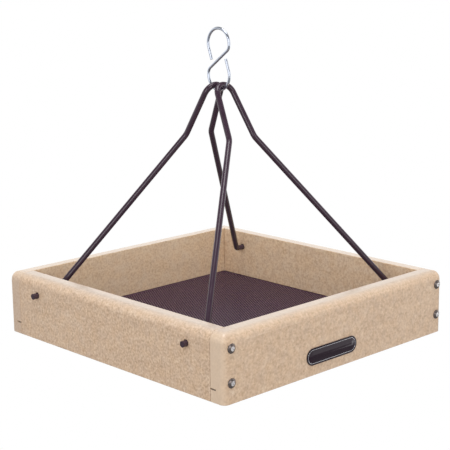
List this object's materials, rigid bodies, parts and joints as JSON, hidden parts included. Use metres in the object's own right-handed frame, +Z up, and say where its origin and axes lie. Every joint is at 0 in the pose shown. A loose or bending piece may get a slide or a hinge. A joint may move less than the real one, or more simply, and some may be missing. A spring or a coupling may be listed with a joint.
{
  "type": "platform bird feeder",
  "caption": "Hanging platform feeder: a shallow square tray of plastic lumber boards with a perforated metal floor, carried by bent rods on a wire S-hook.",
  "frame": {"origin": "middle of the tray, on the plane that the bottoms of the boards stand on", "axes": "+Z up, -Y towards the front board with the name plate, +X towards the right board; the rods' feet run along X"},
  "size_m": [0.3385, 0.347, 0.3338],
  "materials": {
    "plastic_lumber": "sand-coloured recycled plastic with fine lighter and darker speckle, satin",
    "screen": "dark bronze powder coat on perforated sheet",
    "rod": "dark bronze powder coat, semi-gloss",
    "zinc": "bright zinc plating",
    "screw_steel": "plain steel, bright at the recess",
    "plate": "gloss black with a thin silver rim, bare of any print"
  },
  "bodies": {
    "tray": {"front_board": "plastic_lumber", "back_board": "plastic_lumber", "left_board": "plastic_lumber", "right_board": "plastic_lumber", "floor_screen": "screen", "front_hanger_rod": "rod", "rear_hanger_rod": "rod", "name_plate": "plate", "front_left_lower_screw": "screw_steel", "front_left_upper_screw": "screw_steel", "front_right_lower_screw": "screw_steel", "front_right_upper_screw": "screw_steel", "back_left_lower_screw": "screw_steel", "back_left_upper_screw": "screw_steel", "back_right_lower_screw": "screw_steel", "back_right_upper_screw": "screw_steel"},
    "hook": {"s_hook": "zinc"}
  },
  "joints": [
    {"name": "hook_swing", "type": "hinge", "parent": "tray", "child": "hook", "pos_m": [-0.0042, 0, 0.26718], "axis": [0, 1, 0], "range_deg": [-90, 90]}
  ]
}
